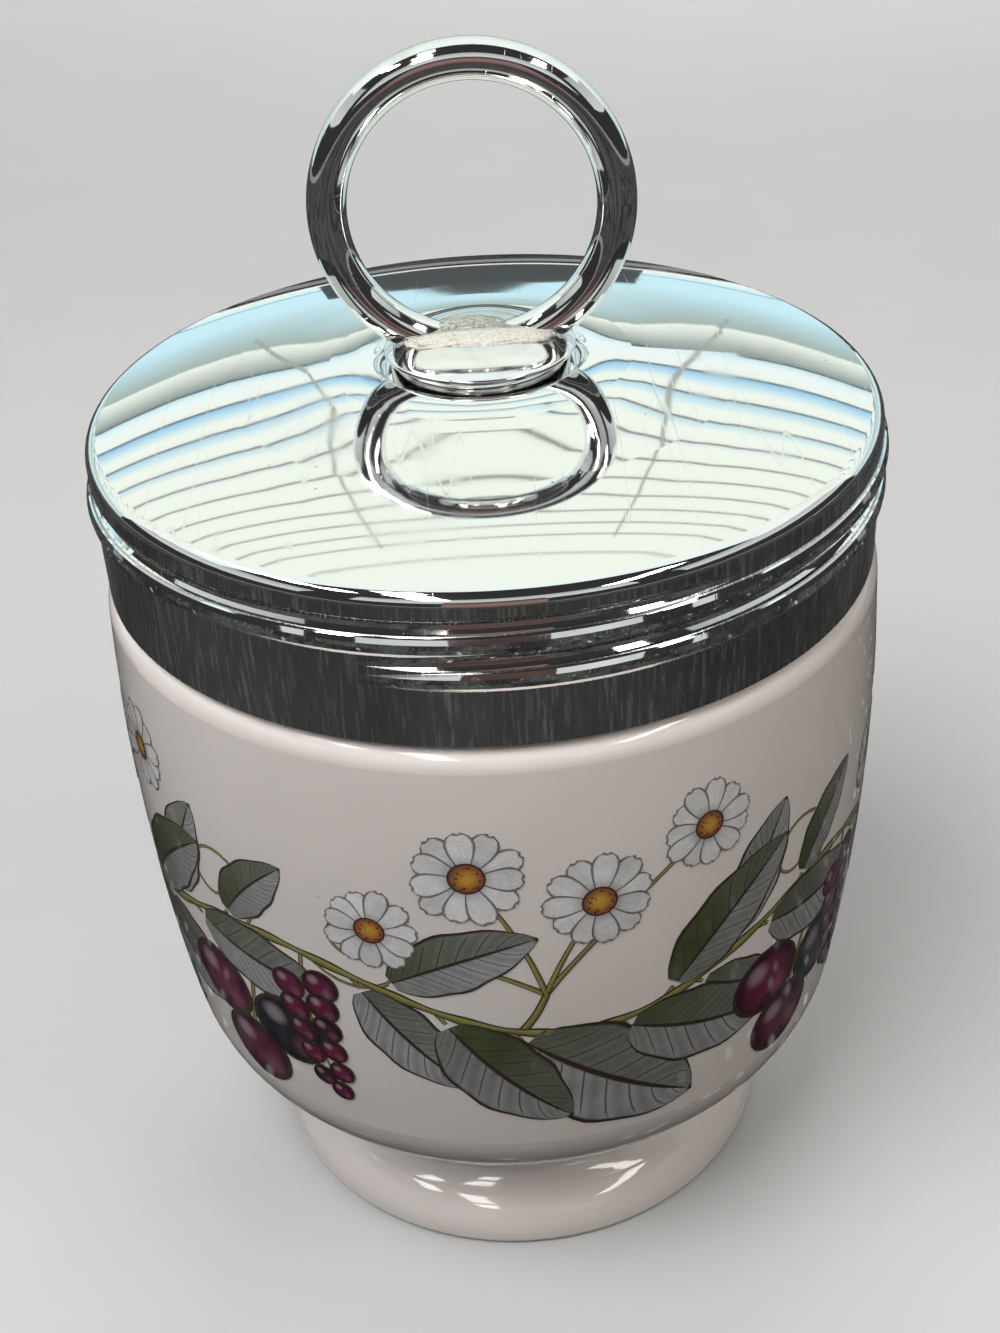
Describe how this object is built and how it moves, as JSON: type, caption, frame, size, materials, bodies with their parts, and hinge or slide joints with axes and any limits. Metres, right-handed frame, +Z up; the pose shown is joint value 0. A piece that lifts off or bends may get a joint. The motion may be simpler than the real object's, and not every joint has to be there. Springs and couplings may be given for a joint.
{
  "type": "porcelain egg coddler",
  "caption": "Footed porcelain cup with a screw-on steel lid that a standing ring lifts, in which eggs are coddled in hot water and served.",
  "frame": {"origin": "centre of the circle that the foot ring stands on", "axes": "+Z up, along the axis that the cup, lid, boss and thread share; the lifting ring stands in the XZ plane when the lid is screwed down, so -Y faces the viewer"},
  "size_m": [0.0686, 0.0686, 0.1081],
  "materials": {
    "porcelain": "glossy clear glaze over white porcelain, with a printed garland of berries, leaves and small daisies",
    "lid_metal": "polished stainless steel with fine scratches",
    "boss_metal": "turned and polished stainless steel",
    "ring_metal": "polished stainless steel wire",
    "braze": "rough silver brazing",
    "washer_metal": "plain stamped stainless steel"
  },
  "bodies": {
    "cup": {"cup": "porcelain"},
    "lid_carrier": {"backing_washer": "washer_metal"},
    "lid": {"lid_cap": "lid_metal", "ring_boss": "boss_metal", "lifting_ring": "ring_metal", "braze_fillet": "braze"}
  },
  "joints": [
    {"name": "lid_rise", "type": "slide", "parent": "cup", "child": "lid_carrier", "axis": [0, 0, 1], "range_m": [0, 0.01285]},
    {"name": "lid_turn", "type": "hinge", "parent": "lid_carrier", "child": "lid", "pos_m": [0, 0, 0.0786], "axis": [0, 0, 1], "range_deg": [0, 1530]}
  ],
  "couplings": [
    {"joint": "lid_rise", "follows": "lid_turn", "m_per_rad": 0.00047746}
  ]
}
